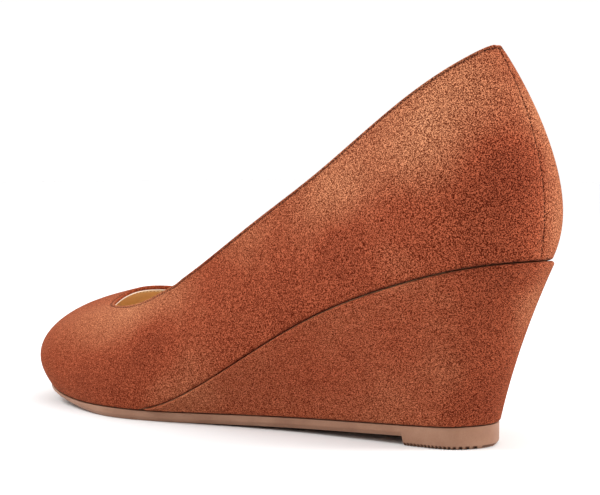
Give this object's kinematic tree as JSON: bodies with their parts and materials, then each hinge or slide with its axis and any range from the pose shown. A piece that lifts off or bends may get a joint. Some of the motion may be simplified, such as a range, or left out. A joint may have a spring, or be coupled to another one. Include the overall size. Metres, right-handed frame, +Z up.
{
  "type": "wedge pump",
  "caption": "Closed-toe slip-on pump with a covered wedge heel, low-cut round vamp, high back and a thin moulded rubber sole with a small heel lift.",
  "frame": {"origin": "on the floor, under the middle of the heel lift's flat tread", "axes": "+X from heel to toe, +Y to the lateral side of this left shoe, +Z up"},
  "size_m": [0.2262, 0.082, 0.1243],
  "materials": {
    "suede": "short napped faux suede, rust brown",
    "wedge_suede": "short napped faux suede, rust brown, a little darker",
    "sole_rubber": "matte moulded rubber, rosy tan",
    "insole_sock": "smooth golden beige lining"
  },
  "bodies": {
    "root": {"outsole": "sole_rubber", "wedge": "wedge_suede", "upper": "suede", "insole": "insole_sock"}
  },
  "joints": []
}
